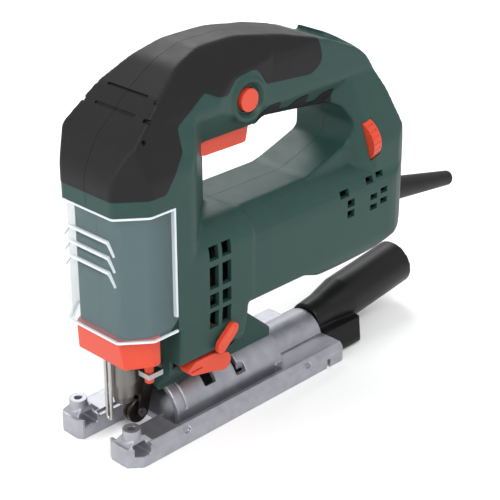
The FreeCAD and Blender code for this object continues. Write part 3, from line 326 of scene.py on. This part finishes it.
def material(name, colour, roughness, metallic=0.0, grain=0.0, grain_size=900.0, mottle=0.06,
             rough_spread=0.08, specular=0.5):
    """A finish with a fine grain in its surface and a slight mottle in its colour and gloss."""
    result = bpy.data.materials.new(name)
    result.use_nodes = True
    nodes, links = result.node_tree.nodes, result.node_tree.links
    shader = nodes["Principled BSDF"]
    shader.inputs["Base Color"].default_value = (*colour, 1)
    shader.inputs["Roughness"].default_value = roughness
    shader.inputs["Metallic"].default_value = metallic
    shader.inputs["Specular IOR Level"].default_value = specular
    place = nodes.new("ShaderNodeTexCoord")
    noise = nodes.new("ShaderNodeTexNoise")
    noise.inputs["Scale"].default_value = grain_size / 12
    noise.inputs["Detail"].default_value = 4
    links.new(place.outputs["Object"], noise.inputs["Vector"])
    ramp = nodes.new("ShaderNodeValToRGB")
    for stop, factor in zip(ramp.color_ramp.elements, (1 - mottle, 1 + mottle)):
        stop.color = (*[min(1, c * factor) for c in colour], 1)
    ramp.color_ramp.elements[0].position = 0.3
    ramp.color_ramp.elements[1].position = 0.7
    links.new(noise.outputs["Fac"], ramp.inputs["Fac"])
    links.new(ramp.outputs["Color"], shader.inputs["Base Color"])
    gloss = nodes.new("ShaderNodeMapRange")
    gloss.inputs["To Min"].default_value = max(0.02, roughness - rough_spread)
    gloss.inputs["To Max"].default_value = min(1, roughness + rough_spread)
    links.new(noise.outputs["Fac"], gloss.inputs["Value"])
    links.new(gloss.outputs["Result"], shader.inputs["Roughness"])
    if grain:
        fine = nodes.new("ShaderNodeTexNoise")
        fine.inputs["Scale"].default_value = grain_size
        fine.inputs["Detail"].default_value = 2
        links.new(place.outputs["Object"], fine.inputs["Vector"])
        bump = nodes.new("ShaderNodeBump")
        bump.inputs["Strength"].default_value = grain
        bump.inputs["Distance"].default_value = 0.0003
        links.new(fine.outputs["Fac"], bump.inputs["Height"])
        links.new(bump.outputs["Normal"], shader.inputs["Normal"])
    return result


def clear(name, colour, alpha):
    """Thin clear plastic, seen through as much as alpha is under one."""
    result = material(name, colour, 0.12, mottle=0.01, rough_spread=0.02)
    result.node_tree.nodes["Principled BSDF"].inputs["Alpha"].default_value = alpha
    result.surface_render_method = "BLENDED"
    return result


GREEN = material("green_plastic", (0.017, 0.050, 0.042), 0.45, grain=0.25, grain_size=1400, specular=0.25)
BLACK_SOFT = material("black_rubber", (0.0075, 0.0072, 0.0082), 0.5, grain=0.3, grain_size=1600,
                      specular=0.22)
ORANGE = material("orange_plastic", (0.58, 0.055, 0.024), 0.38, grain=0.12, mottle=0.03, specular=0.35)
BLACK = material("black_plastic", (0.006, 0.006, 0.0065), 0.42, grain=0.2, specular=0.25)
CAST = material("cast_aluminium", (0.36, 0.365, 0.40), 0.42, metallic=0.85, grain=0.55, grain_size=1900,
                mottle=0.10)
STEEL = material("steel", (0.42, 0.41, 0.40), 0.3, metallic=1.0, grain=0.08)
CLAMP_STEEL = material("clamp_steel", (0.2, 0.19, 0.18), 0.4, metallic=0.9, grain=0.15)
DARK_STEEL = material("dark_steel", (0.05, 0.042, 0.038), 0.33, metallic=0.9, grain=0.1)
IRON = material("iron", (0.10, 0.10, 0.11), 0.5, metallic=0.8, grain=0.2)
COPPER = material("copper", (0.52, 0.17, 0.06), 0.35, metallic=1.0, grain=0.3)
BRASS = material("brass", (0.55, 0.38, 0.13), 0.33, metallic=1.0)
CARBON = material("carbon", (0.02, 0.02, 0.02), 0.7)
CLEAR = clear("clear_plastic", (0.22, 0.30, 0.34), 0.17)
# Painted highlight: a paler, more opaque clear plastic that stands for light caught in the guard's edges.
CLEAR_EDGE_HIGHLIGHT = clear("clear_edge_highlight", (0.80, 0.86, 0.90), 0.7)
MATERIALS = {"green_plastic": GREEN, "black_rubber": BLACK_SOFT, "orange_plastic": ORANGE,
             "black_plastic": BLACK, "cast_aluminium": CAST, "steel": STEEL,
             "dark_steel": DARK_STEEL, "iron": IRON, "copper": COPPER,
             "brass": BRASS, "carbon": CARBON, "clear_plastic": CLEAR}


def dress_nodes():
    """Give every CAD node the finish of its slot in the record."""
    for entry in frame["record"]["subparts"]:
        node = NODES[entry["node"]]
        node.data.materials.clear()
        node.data.materials.append(MATERIALS[entry["material_slot"]])
    for name in ("blade_clamp", "clamp_collar"):
        NODES[name].data.materials[0] = CLAMP_STEEL


# ---- housing -------------------------------------------------------------------------


def zone_solid(side, front, plan):
    """Where a side, a front and perhaps a plan outline overlap."""
    solid = prism(side, "Y", -40, 40)
    combine(solid, prism(front, "X", -100, 160), "INTERSECT")
    if plan:
        combine(solid, prism(plan, "Z", 10, 230), "INTERSECT")
    return solid


def raw_body():
    """The housing's outer form before its edges are softened."""
    whole = None
    for side, front, plan in ZONES:
        solid = zone_solid(side, front, plan)
        whole = combine(whole, solid, "UNION") if whole else solid
    cut(whole, prism(LOOP, "Y", -50, 50))
    x, z, _ = BUTTON
    return combine(whole, rod((x, -16.9, z), (x, BUTTON_FACE, z), 13.6, 96, 12), "UNION")


def guard_prism(inset, low, high, rear):
    """The space of the wrap-round guard: the column's plan drawn in by inset."""
    front, side = -80 + inset, HALF_WIDTH - inset
    corner_x, corner_y = -65 + 0.357 * inset, 19.5 - 0.357 * inset
    plan = [(corner_x, -side, 4), (front, -corner_y, 3), (front, corner_y, 3), (corner_x, side, 4),
            (rear, side), (rear, -side)]
    return prism(plan, "Z", low, high)


def vents():
    """Corners (x0, z0, x1, z1) of the vent windows: the column's grid, then the rear pattern."""
    windows = [(x, z0, x + 6.6, z1) for x in (-25.6, -16.4)
               for z0, z1 in ((62.5, 72.5), (75, 83), (86, 99), (102.5, 110.5))]
    windows += [(78, 105, 85.5, 109.5), (84, 98, 90, 102.5), (84, 91.5, 90, 96), (101, 107, 107, 111),
                (110, 108.5, 116, 112), (104, 96.5, 110, 100), (113, 98, 119, 101.5), (104, 90, 110, 93.5),
                (113, 91.5, 119, 95)]
    return windows


def housing_cutters():
    """What is cut through the housing: controls, guard recess, vents, foot seat and the lower openings."""
    x, z, radius = BUTTON
    lean = math.radians(WHEEL_LEAN)
    axis = Vector((math.cos(lean), 0, math.sin(lean)))
    wheel = Vector(WHEEL)
    half_pocket, pocket_radius = WHEEL_POCKET
    recess = guard_prism(-2, GUARD_LOW - 0.3, GUARD_HIGH + 0.3, GUARD_REAR + 0.3)
    cut(recess, guard_prism(GUARD_RECESS, 60, 160, 0))
    tools = [
        recess,
        slab(*TRIGGER_SLOT),
        rod((x, -40, z), (x, -8, z), radius),
        rod((x, BUTTON_FACE + 2.6, z), (x, BUTTON_FACE - 2, z), 7.6, 96, 11.6),
        rod(wheel - axis * half_pocket, wheel + axis * half_pocket, pocket_radius, 96),
        rod((BLADE_X, 0, 60), (BLADE_X, 0, 80), 9.6),
        rod((-80, 0, TILT_Z), (60, 0, TILT_Z), BARREL_RADIUS, 128),
        slab((-50, -6, 20), (-3, 6, 64)),
        slab((-50, -40, 25), (-3, -20.8, 47.5)),
        rod((120, 0, 84.3), (160, 0, 74.8), 9.0),
        rod((POST[0], POST[1], 60), (POST[0], POST[1], 72), 2.65),
    ]
    for x0, z0, x1, z1 in vents():
        for side in (-1, 1):
            y0, y1 = sorted((side * VENT_INNER, side * VENT_OUTER))
            tools.append(slab((x0, y0, z0), (x1, y1, z1)))
    return tools


def housing():
    """Both halves of the hard shell and of the soft cover over it."""
    body = remesh(raw_body(), 0.8, 12)
    inner = remesh(grow(duplicate(body), -WALL), 1.4)
    front = slab((-90, -40, 60), (-46, 40, GUARD_HIGH + 3.2))
    cut(front, guard_prism(GUARD_RECESS + 2.5, GUARD_LOW + 2.2, GUARD_HIGH + 4, 6))
    cut(inner, front)
    shell = combine(body, inner, "DIFFERENCE")
    thin_out(shell, 0.45)
    cover_form = grow(duplicate(shell), COVER_RISE)
    cover_base = grow(duplicate(shell), PAD_RISE)
    mask = prism(COVER_EDGE, "Y", -45, 45)
    cover = combine(cover_form, duplicate(mask), "INTERSECT")
    shell = combine(shell, mask, "DIFFERENCE")
    waves = prism(WAVES, "Y", -45, 45)
    pads = combine(duplicate(cover_base), duplicate(waves), "INTERSECT")
    shell = combine(shell, waves, "DIFFERENCE")
    tools = housing_cutters()
    for tool in tools:
        combine(shell, tool, "DIFFERENCE", keep=True)
        combine(cover, tool, "DIFFERENCE", keep=True)
    for tool in tools:
        drop(tool)
    for groove in head_grooves() + top_lines():
        combine(cover, groove, "DIFFERENCE")
    halves = {"left": slab((-120, -60, 0), (200, -SEAM, 240)), "right": slab((-120, SEAM, 0), (200, 60, 240))}
    for side, half in halves.items():
        hard = combine(duplicate(shell), duplicate(half), "INTERSECT")
        soft = combine(duplicate(cover), half, "INTERSECT")
        finish_piece(hard, "shell_" + side, GREEN, "frame", ["housing_" + side])
        finish_piece(soft, "cover_" + side, BLACK_SOFT, "frame", ["overmould_" + side])
    finish_piece(pads, "grip_waves", BLACK_SOFT, "frame", ["finger_pads"])
    for piece in (shell, cover, cover_base):
        drop(piece)


def head_grooves():
    """Grooves across the head: a round one over the top, then a slot down each side."""
    tops = [(-49.6, 194.9), (-58.8, 187.7), (-66.9, 179.0)]
    slots = [((-51.5, -21, 194.6), (-47.5, -31.8, 194.6)), ((-59, -21.5, 186.6), (-56.3, -31.8, 187.5)),
             ((-65.8, -22, 178.2), (-62, -32, 178.7))]
    tools = []
    for (x, z), (start, end) in zip(tops, slots):
        tools.append(rod((x, -15, z), (x, 15, z), 0.9, 16))
        for side in (-1, 1):
            near, far = Vector(start), Vector(end)
            near.y, far.y = -side * near.y, -side * far.y
            tools.append(rod(near, far, 1.3, 16))
    return tools


def top_lines():
    """Two pointed lines across the top of the grip, cut into the soft cover."""
    tools = []
    for path in (((26.4, 8, 206.6), (22.8, 16, 201.5), (7.3, 20, 198.3)),
                 ((53.7, 8, 202.2), (47.1, 16, 196.7), (33.2, 20, 195.6))):
        for side in (-1, 1):
            points = [Vector((x, side * y, z)) for x, y, z in path]
            for start, end in zip(points, points[1:]):
                tools.append(rod(start, end, 0.7, 12))
    return tools


# ---- other parts ------------------------------------------------------------------------


def softened(node, name, look, body, voxel=0.5, rounds=3, keep=0.5):
    """A CAD node's shape with its edges eased, standing for that node."""
    piece = node_copy(node, name)
    remesh(piece, voxel, rounds)
    thin_out(piece, keep)
    return finish_piece(piece, name, look, body, [node])


def eased_parts():
    """Cast and moulded parts with softly rounded edges."""
    softened("sole_plate", "sole_casting", CAST, "sole", 0.45, 1)
    softened("dust_nozzle", "nozzle_moulding", BLACK, "nozzle", 0.6, 3)
    softened("release_lever", "release_band", ORANGE, "release", 0.4, 5)
    softened("tilt_clamp_lever", "tilt_lever_moulding", ORANGE, "tilt_lever", 0.3, 2)
    softened("orbital_selector", "selector_knob", ORANGE, "selector", 0.3, 3)
    softened("trigger", "trigger_moulding", ORANGE, "squeeze", 0.35, 6)
    softened("lock_button", "button_moulding", ORANGE, "lock", 0.3, 5)
    softened("cord_sleeve", "sleeve_moulding", BLACK_SOFT, "frame", 0.5, 2)


def louvre_lip_highlights():
    """Painted highlights: bright strips over the guard's three louvres, bending down at each side of the
    front.
    """
    lips = []
    for z in LOUVRES:
        lips.append(slab((-80.05, -15, z - 0.4), (-78.6, 15, z + 1.1)))
        for side in (-1, 1):
            fall = [(side * 14.8, z - 0.4), (side * 14.8, z + 1.1), (side * 19.4, z - 6.2)]
            lips.append(prism(fall, "X", -80.05, -78.6))
    return lips


def guard_rim_highlight():
    """Painted highlights along the guard's bright edges: its rims, its rear edges and the lips over its
    louvres, in a paler, more opaque clear plastic.
    """
    rims = []
    for low, high in ((GUARD_LOW, GUARD_LOW + 1.1), (GUARD_HIGH - 1.1, GUARD_HIGH)):
        ring = guard_prism(-0.05, low, high, GUARD_REAR)
        cut(ring, guard_prism(1.2, low - 1, high + 1, GUARD_REAR + 2))
        rims.append(ring)
    for side in (-1, 1):
        y0, y1 = sorted((side * (HALF_WIDTH - 2.2), side * (HALF_WIDTH + 0.05)))
        rims.append(slab((GUARD_REAR - 1.3, y0, GUARD_LOW + 9), (GUARD_REAR + 0.02, y1, GUARD_HIGH)))
    whole = rims[0]
    for rim in rims[1:] + louvre_lip_highlights():
        combine(whole, rim, "UNION")
    # The strips carry a painted highlight, not a different plastic.
    finish_piece(whole, "guard_rim_highlight", CLEAR_EDGE_HIGHLIGHT, "guard")


# ---- stage ----------------------------------------------------------------------------------


def stage():
    """Pale floor, white surroundings and three large lamps."""
    mesh = bpy.data.meshes.new("floor")
    work = bmesh.new()
    bmesh.ops.create_grid(work, x_segments=1, y_segments=1, size=6)
    work.to_mesh(mesh)
    work.free()
    floor = add_object("floor", mesh)
    floor.location.z = cad_box[0][2] - 0.0002
    floor.data.materials.append(material("floor_white", (0.93, 0.93, 0.93), 0.6, mottle=0.004))
    world = bpy.data.worlds.new("studio")
    world.use_nodes = True
    world.node_tree.nodes["Background"].inputs["Color"].default_value = (1, 1, 1, 1)
    world.node_tree.nodes["Background"].inputs["Strength"].default_value = 0.8
    bpy.context.scene.world = world
    bpy.context.scene.view_settings.view_transform = "Standard"
    middle = Vector((0.02, 0, 0.1))
    for name, place, size, power in (
        ("key", (-0.5, -1.0, 1.3), 0.9, 16),
        ("fill", (-1.4, 0.2, 0.7), 1.0, 9),
        ("back", (0.7, 0.9, 1.2), 0.8, 12),
    ):
        light = bpy.data.lights.new(name, "AREA")
        light.energy = power
        light.size = size
        lamp = bpy.data.objects.new(name, light)
        lamp.location = place
        lamp.rotation_euler = (Vector(place) - middle).to_track_quat("Z", "Y").to_euler()
        bpy.context.scene.collection.objects.link(lamp)


def camera():
    """Long lens from the front left and above."""
    lens = bpy.data.cameras.new("camera")
    lens.lens = 104.3
    lens.sensor_width = 36
    lens.clip_start = 0.01
    eye = bpy.data.objects.new("camera", lens)
    right, up = Vector((0.70137, -0.71279, 0)), Vector((0.31015, 0.30518, 0.90038))
    back = right.cross(up)
    turn = Matrix((right, up, back)).transposed()
    eye.matrix_world = Matrix.Translation((-0.4911, -0.5189, 0.4352)) @ turn.to_4x4()
    bpy.context.scene.collection.objects.link(eye)
    bpy.context.scene.camera = eye


dress_nodes()
housing()
eased_parts()
# Painted highlights along the clear guard's edges.
guard_rim_highlight()
stage()
camera()
